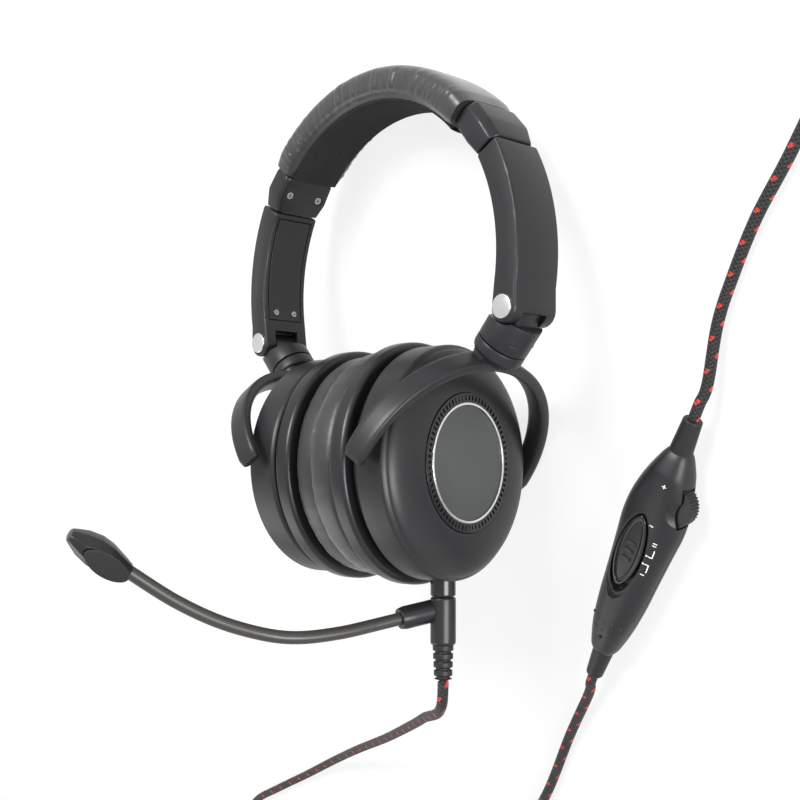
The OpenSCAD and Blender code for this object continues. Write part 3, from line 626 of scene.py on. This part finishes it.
# ---------- yokes ----------
def yoke(word, side):
    a_semi, b_semi = 47.55, 41
    n, m = 112, 24
    rings = []
    for i in range(n + 1):
        a = math.radians(-5.5 + 191 * i / n)
        mid = Vector((0, b_semi * math.sin(a), a_semi * math.cos(a)))
        out = Vector((0, math.sin(a) / b_semi, math.cos(a) / a_semi)).normalized()
        wide = 4.4 + 0.5 * max(0.0, math.sin(a)) ** 12
        end = min(1.0, min(i, n - i) / 2.0)
        thick = 2.1 + 0.2 * math.sin(a)
        ring = []
        for j in range(m):
            b = math.tau * (j + 0.5) / m
            x, y = math.cos(b), math.sin(b)
            x = squared(x, 0.42) * wide * (0.86 + 0.14 * end)
            y = squared(y, 0.5) * thick * (0.75 + 0.25 * end)
            crown = (0.35 if y < 0 else -0.1) * (abs(x) / wide) ** 3 * y
            ring.append(mid + Vector((1, 0, 0)) * x + out * (y - crown))
        rings.append(ring)
    at = cup(side) @ Matrix.Rotation(-YOKE_LEAN, 4, "Z")
    bow = skin(f"{word}_yoke_bow", rings, at)
    finish_piece(bow, f"{word}_yoke", SHELL, (f"{word}_yoke",), angle=50)
    # turned boss of the swivel, which flares into the bow
    boss_outline = [(0, -14.3), (DRUM_R - 0.4, -14.3), (DRUM_R, -14.7), (DRUM_R, -18.2), (8.2, -19.3), (0, -19.8)]
    boss = turned(f"{word}_yoke_boss", soften(boss_outline, 0.8), barrel(side) @ QUARTER_Z, 80)
    finish_piece(boss, f"{word}_yoke", SHELL, angle=40)
    neck_rings = []
    for k in range(11):
        f = k / 10
        w = 8.0 - 3.9 * f ** 0.8
        d = 8.4 - 0.6 * f + 3.4 * f ** 3
        ring = []
        for j in range(32):
            b = math.tau * j / 32
            c, e = math.cos(b), math.sin(b)
            ring.append((-0.3 * f + w * squared(c, 0.85), -18.6 - 4.6 * f, d * squared(e, 0.9)))
        neck_rings.append(ring)
    neck = skin(f"{word}_yoke_neck", neck_rings, barrel(side))
    finish_piece(neck, f"{word}_yoke", SHELL, angle=60)


for word, side in SIDES:
    yoke(word, side)


# ---------- arms, end caps and knuckles ----------
def band_cutter(place, r0, r1, w, a0, a1):
    rings = []
    for i in range(25):
        a = math.radians(a0 + (a1 - a0) * i / 24)
        rings.append([arc_point(r0, a, -w), arc_point(r1, a, -w), arc_point(r1, a, w), arc_point(r0, a, w)])
    return skin("cutter", rings, place)


def arm(word, side):
    at = LAY @ flip(side)
    low, high, n = -9.3, 29.8, 36
    outline = [arc_point(ARM_OUT, math.radians(high - (high - low) * k / n), 0)[:2] for k in range(n + 1)]
    outline += circle(5.5, range(0, -184, -8), PIN.x, PIN.y)
    outline += [arc_point(ARM_IN, math.radians(low + (high - low) * k / n), 0)[:2] for k in range(n + 1)]
    shell = plate(f"{word}_arm", outline, -ARM_HALF, ARM_HALF, at, bevel=1.0)
    carve(shell, block(at, (56, 38, -5.8), (69, 56.2, 5.8)), block(at, (68.9, 38, -5.8), (80, 48.8, 5.8)),
          rod(at, 4.3, 11.6, (PIN.x, PIN.y, 0)), band_cutter(at, 63, 67.05, 8.4, -8.78, 28.1))
    finish_piece(shell, f"{word}_arm", SHELL, (f"{word}_arm_shell",), angle=30)


def end_cap(word, side):
    at = LAY @ flip(side)
    # angle along the band, half width, inner and outer radius
    stations = [(30.35, ARM_HALF, ARM_IN, ARM_OUT), (31.2, 10.7, 65.3, 75.7), (35.5, 12.0, 64.9, 76.2),
                (36.4, 12.0, 64.9, 76.2), (42.2, 11.7, 64.9, 75.9), (43.3, 11.3, 65.1, 75.4), (44.0, 10.4, 65.6, 74.6)]
    outer_cut, inner_cut = 2.6, 1.2
    rings = []
    for a, w, r0, r1 in stations:
        spots = [(r0, w - inner_cut), (r0 + inner_cut, w), (r1 - outer_cut, w), (r1, w - outer_cut),
                 (r1, outer_cut - w), (r1 - outer_cut, -w), (r0 + inner_cut, -w), (r0, inner_cut - w)]
        rings.append([arc_point(r, math.radians(a), z) for r, z in spots])
    cap = skin(f"{word}_cap", rings, at)
    round_edges(cap, 0.45, 3, 14)
    turn = Matrix.Translation((0, BAND_RISE, 0)) @ Matrix.Rotation(math.radians(37), 4, "Z") @ QUARTER_Y
    carve(cap, *[rod(at @ turn, 1.75, 3, (-z, 0, 64.6), 32) for z in (-7.1, 7.1)])
    finish_piece(cap, f"{word}_cap", PLASTIC, (f"{word}_end_cap",), angle=35)


def knuckle(word, side):
    at = barrel(side)
    bpy.ops.mesh.primitive_cylinder_add(vertices=96, radius=DRUM_R * MM, depth=10.3 * MM)
    drum = bpy.context.object
    drum.name = f"{word}_knuckle_drum"
    drum.data.transform(Matrix.Translation((0, 0, 8.7 * MM)))
    put(drum, at @ Matrix.Rotation(math.radians(90), 4, "X"))
    scoop = plate("cutter", [(-14, 3), (0.4, 3), (0.4, -5.2), (-9.3, -8.7), (-14, -10.4)], -14, 14, at, bevel=0)
    carve(drum, scoop, rod(at, 5.9, 40, n=80))
    round_edges(drum, 0.55, 3, 38)
    finish_piece(drum, f"{word}_knuckle", SHELL, (f"{word}_knuckle",), angle=32)
    eye_r = 3.9
    outline = circle(eye_r, range(0, 181, 9)) + [(-eye_r, -9.6), (8.2, -9.6), (eye_r, -1.5)]
    tongue = plate(f"{word}_knuckle_tongue", outline, -5.3, 5.3, at, bevel=0.4)
    finish_piece(tongue, f"{word}_knuckle", PLASTIC, angle=35)
    inset = plate(f"{word}_knuckle_inset", [(-1.6, -1.3), (1.6, -1.3), (1.6, 1.3), (-1.6, 1.3)], 9.02, 9.3,
                  at @ Matrix.Translation((0, -11.4, 0)) @ Matrix.Rotation(math.radians(62), 4, "Y"), bevel=0.12)
    finish_piece(inset, f"{word}_knuckle", PLASTIC, angle=35)


def fold_pin(word, side):
    at = LAY @ flip(side) @ Matrix.Translation(PIN) @ Matrix.Rotation(math.radians(-90), 4, "Y")
    head = [(0, 11.35), (3.8, 11.35), (4.0, 11.25), (4.1, 11.0), (4.1, 10.5), (1.95, 10.5)]
    o = turned(f"{word}_pin", head + [(radius, -x) for radius, x in head[::-1]], at, 96)
    finish_piece(o, f"{word}_arm", PIN_METAL, (f"{word}_fold_pin",), angle=35)


# ---------- ear cup shells ----------
def cup_shell(word, side):
    dome = [(25.0 + 15.6 * math.cos(math.radians(a)), 5.2 + 4.8 * math.sin(math.radians(a)))
            for a in range(6, 89, 7)]
    outline = [(0, 8.55), (GRILLE - 0.05, 8.55), (GRILLE + 0.05, 10.0)] + dome[::-1]
    outline += [(41.3, 5.2), (CUP_R, 4.4), (CUP_R, -6.2), (41.2, -7.5), (39.6, -7.5), (39.6, -5.5), (0, -5.5)]
    o = turned(f"{word}_cup_shell", soften(outline, 0.5), cup(side), 160)
    finish_piece(o, f"{word}_cup", SHELL, (f"{word}_housing",), angle=28)
    rim = [(36, -17), (43, -17), (44, -15.9), (44, -11.2), (43.1, -10), (38.6, -10), (38.6, -7.7), (36, -7.7),
           (36, -17)]
    o = turned(f"{word}_cup_rim", soften(rim, 0.7), cup(side), 160)
    finish_piece(o, f"{word}_cup", PLASTIC, (f"{word}_rim_ring",), angle=28)


# ---------- boom, jack and microphone ----------
def jack_line():
    return LAY @ Matrix.Translation((JACK_X, 0, 0)) @ QUARTER_Z


BOOM = [Vector(p) for p in ((23.9, -54.9, 13), (20.6, -56.9, 24), (17.3, -58.9, 37.3), (13, -59.7, 51.2),
                            (8.5, -58.1, 62.5), (4.5, -53, 77.8), (1, -45.3, 92.8), (-2, -35.3, 107.7))]


def boom_set():
    collar = [(0, -39.6), (4.4, -39.6), (4.55, -40.0), (4.55, -47.2), (4.2, -47.6), (0, -47.6)]
    o = turned("jack_collar", soften(collar, 0.3), jack_line(), 64)
    finish_piece(o, "left_cup", GLOSSY, ("jack_socket",), angle=30)
    body = [(0, -47.9), (4.2, -47.9), (4.6, -48.4), (4.6, -64.2), (4.2, -65.0), (0, -65.0)]
    o = turned("connector_body", soften(body, 0.4), jack_line(), 64)
    finish_piece(o, "boom", PLASTIC, ("boom_joint",), angle=30)
    way = (BOOM[1] - BOOM[0]).normalized()
    path = [BOOM[0] + way * s for s in (-12, -8, -4, 0, 1.6, 2.0)]
    o = sleeve("connector_sleeve", path, 4.15, m=40, place=LAY, upward=(0, 1, 0),
               shape=lambda f: 1.0 if f < 0.9 else 1.0 - (f - 0.9) * 1.2)
    finish_piece(o, "boom", PLASTIC, angle=30)
    ribs = [(0, -65.1), (3.7, -65.1)]
    y, r = -65.1, 3.75
    for k in range(4):
        ribs += [(r, y), (r, y - 1.9), (r - 0.85, y - 2.1), (r - 0.85, y - 2.8)]
        y, r = y - 3.0, r - 0.13
    ribs += [(r, y), (r - 0.1, -77.3), (2.3, -BOOT_END), (0, -BOOT_END)]
    o = turned("ribbed_boot", soften(ribs, 0.22, 3), jack_line(), 56)
    finish_piece(o, "boom", RUBBER, ("cord_boot",), angle=30)
    path = [BOOM[0] + way * 2.1] + smooth_path(BOOM[1:], 10)
    o = sleeve("gooseneck", path, 2.3, m=24, place=LAY, upward=(0, 1, 0))
    finish_piece(o, "boom", BOOM_SKIN, ("boom",), angle=60)


def microphone():
    way = (BOOM[7] - BOOM[6]).normalized()
    across = way.cross(Vector((0.25, 1, 0.35))).normalized()
    above = across.cross(way)
    # share of the length, and of the half width and half height there
    shape = [(0, 0.5, 0.46), (0.14, 0.7, 0.62), (0.4, 0.98, 0.88), (0.58, 1, 0.92), (0.78, 0.86, 0.76),
             (0.93, 0.62, 0.5), (1, 0.46, 0.36)]
    rings = []
    for f, w, h in shape:
        ring = []
        for j in range(8):
            a = math.radians(45 * j + 22.5)
            ring.append(BOOM[7] + way * (f * MIC_LONG + 0.1) + across * (w * 6.2 * math.cos(a) * 1.08)
                        + above * (h * 5.27 * math.sin(a) * 1.08))
        rings.append(ring)
    o = skin("microphone_capsule", rings, LAY)
    round_edges(o, 0.35, 3, 12)
    frame_of = Matrix((
        (across.x, above.x, way.x, 0), (across.y, above.y, way.y, 0), (across.z, above.z, way.z, 0), (0, 0, 0, 1)))
    middle = BOOM[7] + way * MIC_LONG * 0.4 - across * 6.5
    at = LAY @ Matrix.Translation(middle) @ frame_of
    face = at @ QUARTER_Y @ QUARTER_Z
    carve(o, plate("cutter", [(y, z) for z, y in lens_shape(8.2, 3.9, 20)], -1.2, 1.2, face, bevel=0))
    finish_piece(o, "boom", PLASTIC, ("mic_capsule",), angle=22)
    pad = plate("microphone_foam", [(y, z) for z, y in lens_shape(8.0, 3.7, 20)], -1.15, 0.35, face,
                bevel=0.2)
    finish_piece(pad, "boom", FOAM, ("mic_foam",), angle=30)


def lens_shape(half_long, half_wide, n):
    """Outline of a long oval with blunt points: (long, wide)."""
    turns = [math.tau * j / (2 * n) for j in range(2 * n)]
    return [(half_long * math.cos(a), half_wide * squared(math.sin(a), 1.15)) for a in turns]


# ---------- control box ----------
BOX = Matrix.Translation(box_centre) @ Matrix.Rotation(turn_box, 4, "Z")
# share of the length, and of the half width there
BOX_SHAPE = [(0, 0.34), (0.03, 0.44), (0.11, 0.58), (0.2, 0.69), (0.29, 0.77), (0.38, 0.82), (0.48, 0.88),
             (0.57, 0.94), (0.66, 1), (0.75, 0.96), (0.84, 0.81), (0.92, 0.6), (0.97, 0.45), (1, 0.36)]


def box_width(y):
    f = y / BOX_LONG + 0.5
    for (a, p), (b, q) in zip(BOX_SHAPE, BOX_SHAPE[1:]):
        if f <= b:
            return BOX_WIDE * (p + (q - p) * (f - a) / (b - a))
    return BOX_WIDE * BOX_SHAPE[-1][1]


def pebble(name):
    stations = smooth_path([(f, q, 0) for f, q in BOX_SHAPE], 6)
    rings = []
    for s in stations:
        f, q = s.x, s.y
        end = min(1.0, min(f, 1 - f) / 0.035)
        k = 0.8 + 0.2 * math.sqrt(max(0.0, 1 - (1 - end) ** 2))
        w = BOX_WIDE * q * k
        h = min(BOX_THICK, BOX_WIDE * q * 0.98) * k
        ring = []
        for j in range(64):
            a = math.tau * (j + 0.5) / 64
            c, d = math.cos(a), math.sin(a)
            ring.append((w * squared(c, 0.78), (f - 0.5) * BOX_LONG, h * squared(d, 0.86)))
        rings.append(ring)
    return skin(name, rings, BOX)


def half_box(name, above):
    """The cover or the base, with a thin gap between the two."""
    gap = 0.06
    o = pebble(name)
    low, high = (-30, gap) if above else (-gap, 30)
    carve(o, block(BOX, (-30, -60, low), (30, 60, high)))
    round_edges(o, 0.25, 2, 50)
    return o


WHEEL = Vector((5.6, 26, 0.6))


def control_box():
    cover = half_box("box_cover_shell", True)
    slot_at = BOX @ Matrix.Translation((-1.5, 2, 0))
    well = plate("cutter", [(x, y) for y, x in lens_shape(19.5, 7.0, 32)], 6.1, 12, slot_at, bevel=0)
    deep = plate("cutter", [(x, y) for y, x in lens_shape(17.2, 5.9, 32)], 2.2, 12, slot_at, bevel=0)
    scoop = rod(BOX @ Matrix.Translation(WHEEL), 8.5, 6.4, n=64)
    dish_at = BOX @ Matrix.Translation((16.6, 26, 9.0)) @ Matrix.Rotation(math.radians(-38), 4, "Y")
    dish = rod(dish_at, 9.6, 14, n=64)
    carve(cover, well, deep, dish, scoop)
    finish_piece(cover, "left_cup", SHELL, ("box_cover",), angle=28)
    base = half_box("box_base_shell", False)
    carve(base, rod(BOX @ Matrix.Translation(WHEEL), 8.5, 6.4, n=64),
          *[rod(BOX, 1.5, 3, (0, y, -7.2), 24) for y in (-24.3, 36.0)])
    finish_piece(base, "left_cup", SHELL, ("box_base",), angle=28)
    # raised dots in rows of five, three and one
    for k in range(5):
        for j in range(3):
            if abs(k - 2) <= 2 - j:
                x, y = (k - 2) * 3.0, -28 - j * 4.0
                bpy.ops.mesh.primitive_uv_sphere_add(segments=16, ring_count=8, radius=0.75 * MM)
                dot = bpy.context.object
                dot.name = f"box_dot_{k}_{j}"
                top = BOX_THICK * (1 - (abs(x) / box_width(y)) ** 2.6) ** 0.4
                here = Matrix.Translation(Vector((x, y, top - 0.2)) * MM)
                dot.data.transform(here @ Matrix.Diagonal((1, 1, 0.6, 1)))
                put(dot, BOX)
                finish_piece(dot, "left_cup", PLASTIC, angle=60)
    # slide button: a dished oval with a rim and three ridges
    at = BOX @ Matrix.Translation((-1.5, 3.5, 0))
    button = plate("mute_button", [(x, y) for y, x in lens_shape(15.1, 5.25, 40)], 2.5, 6.9, at, bevel=0.5)
    hollow = plate("cutter", [(x, y) for y, x in lens_shape(13.9, 4.3, 40)], 6.3, 9, at, bevel=0)
    carve(button, hollow)
    finish_piece(button, "mute", GLOSSY, ("mute_slider",), angle=30)
    raised = plate("mute_button_pad", [(x, y) for y, x in lens_shape(12.4, 3.4, 40)], 6.2, 6.75, at, bevel=0.25)
    finish_piece(raised, "mute", PLASTIC, angle=30)
    bar = soften([(-2, -0.55), (2, -0.55), (2, 0.55), (-2, 0.55), (-2, -0.55)], 0.3, 2)[:-1]
    for k in (-1, 0, 1):
        ridge = plate(f"mute_ridge_{k + 1}", bar, 6.6, 7.35, at @ Matrix.Translation((0, k * 3.3, 0)), bevel=0.2,
                      segments=2)
        finish_piece(ridge, "mute", PLASTIC, angle=40)
    # thumb wheel with a milled edge
    teeth = 40
    outline = []
    for i in range(teeth * 4):
        a = math.tau * i / (teeth * 4)
        r = 7.95 if i % 4 < 2 else 7.5
        outline.append((r * math.cos(a), r * math.sin(a)))
    wheel = plate("thumb_wheel", outline, -2.5, 2.5, BOX @ Matrix.Translation(WHEEL), bevel=0)
    finish_piece(wheel, "wheel", PLASTIC, ("volume_wheel",), angle=30)
    boots = []
    for end, r0, r1, n in ((-1, 4.0, 3.3, "box_lower_boot"), (1, 4.1, 3.4, "box_upper_boot")):
        tube = [(0, 44.2), (r0, 44.2), (r0, 45.2), (r1, BOX_PORT - 0.3), (r1 - 0.4, BOX_PORT), (0, BOX_PORT)]
        o = turned(f"{n}_sleeve", soften(tube, 0.4), BOX @ Matrix.Rotation(math.radians(90 * end), 4, "Z"), 56)
        finish_piece(o, "left_cup", RUBBER, (n,), angle=30)
        boots.append(o)
    marks()
    return boots[0]


def painted(name, strokes):
    """Flat white marks on the cover: each stroke is (x, y, width, height)."""
    points, faces = [], []
    for x, y, w, h in strokes:
        k = len(points)
        nx, ny = max(1, int(w / 0.4)), max(1, int(h / 0.4))
        for j in range(ny + 1):
            for i in range(nx + 1):
                px, py = x - w / 2 + w * i / nx, y - h / 2 + h * j / ny
                wide = box_width(py)
                pz = BOX_THICK * max(0.05, 1 - (abs(px) / wide) ** 2.55) ** 0.37 + 0.05
                points.append((BOX @ Vector((px, py, pz))) * MM)
        for j in range(ny):
            for i in range(nx):
                q = k + j * (nx + 1) + i
                faces.append((q, q + 1, q + nx + 2, q + nx + 1))
    mesh = bpy.data.meshes.new(name)
    mesh.from_pydata(points, [], faces)
    o = bpy.data.objects.new(name, mesh)
    bpy.context.collection.objects.link(o)
    s = o.modifiers.new("ink", "SOLIDIFY")
    s.thickness = 0.06 * MM
    apply_modifiers(o)
    finish_piece(o, "left_cup", INK, angle=60)


def marks():
    bar = 0.35
    # plus above the wheel, minus below it
    painted("wheel_marks", [(2.6, 33.4, 1.6, bar), (2.6, 33.4, bar, 1.6), (3.4, 17.6, 1.6, bar)])
    # two stepped marks beside the button, a dot at the foot of each, and short bars past them
    painted("slide_marks", [(7.6, 7.6, bar, 3.4), (6.9, 6.1, 1.7, bar), (5.6, 6.1, 0.55, 0.55),
                            (7.4, 1.2, bar, 3.4), (6.7, 2.7, 1.7, bar), (5.4, 2.7, 0.55, 0.55),
                            (6.9, 11.0, 1.4, bar), (6.9, 12.0, 1.4, bar), (6.5, -1.8, 1.4, bar)])


for word, side in SIDES:
    arm(word, side)
    end_cap(word, side)
    knuckle(word, side)
    fold_pin(word, side)
    cup_shell(word, side)
boom_set()
microphone()
lower_boot = control_box()

# ---------- floor and light ----------
def backdrop_rays(t):
    """1 where the camera, metal or clear parts look at the backdrop itself."""
    path = add(t, "ShaderNodeLightPath")
    sharp = add(t, "ShaderNodeMath", operation="MAXIMUM")
    every = add(t, "ShaderNodeMath", operation="MAXIMUM")
    t.links.new(path.outputs["Is Camera Ray"], sharp.inputs[0])
    t.links.new(path.outputs["Is Glossy Ray"], sharp.inputs[1])
    t.links.new(sharp.outputs[0], every.inputs[0])
    t.links.new(path.outputs["Is Transmission Ray"], every.inputs[1])
    return every.outputs[0]


bpy.ops.mesh.primitive_plane_add(size=40, location=(0, 0, TABLE * MM - 0.0002))
floor = bpy.context.object
floor.name = "floor"
m, t, p = nodes_of("pale_floor")
p.inputs["Base Color"].default_value = (0.9, 0.9, 0.9, 1)
p.inputs["Roughness"].default_value = 0.9
glow = add(t, "ShaderNodeEmission")
glow.inputs["Color"].default_value = (1, 1, 1, 1)
blend = add(t, "ShaderNodeMixShader")
share = add(t, "ShaderNodeMath", operation="MULTIPLY")
share.inputs[1].default_value = 0.8
t.links.new(backdrop_rays(t), share.inputs[0])
t.links.new(share.outputs[0], blend.inputs["Fac"])
t.links.new(p.outputs["BSDF"], blend.inputs[1])
t.links.new(glow.outputs["Emission"], blend.inputs[2])
t.links.new(blend.outputs["Shader"], t.nodes["Material Output"].inputs["Surface"])
floor.data.materials.append(m)

world = bpy.data.worlds.new("studio")
bpy.context.scene.world = world
world.use_nodes = True
t = world.node_tree
ground = t.nodes["Background"]
ground.inputs["Color"].default_value = (1, 1, 1, 1)
level = add(t, "ShaderNodeMapRange")
level.inputs["To Min"].default_value = 0.35
level.inputs["To Max"].default_value = 1.0
t.links.new(backdrop_rays(t), level.inputs["Value"])
t.links.new(level.outputs["Result"], ground.inputs["Strength"])


def softbox(name, place, target, size, power):
    lamp = bpy.data.lights.new(name, "AREA")
    lamp.shape = "RECTANGLE"
    lamp.size, lamp.size_y = size
    lamp.energy = power
    o = bpy.data.objects.new(name, lamp)
    bpy.context.collection.objects.link(o)
    o.location = place
    o.rotation_euler = (Vector(target) - Vector(place)).to_track_quat("-Z", "Y").to_euler()


softbox("key_light", (0.1, 0.75, 0.75), (0, 0.03, 0), (0.5, 0.35), 15)
softbox("side_light", (0.85, -0.1, 0.25), (0, 0.03, 0), (0.3, 0.5), 8)
softbox("fill_light", (-0.7, -0.5, 0.7), (0, 0.03, 0), (0.6, 0.6), 3)

bpy.context.scene.view_settings.view_transform = "Standard"
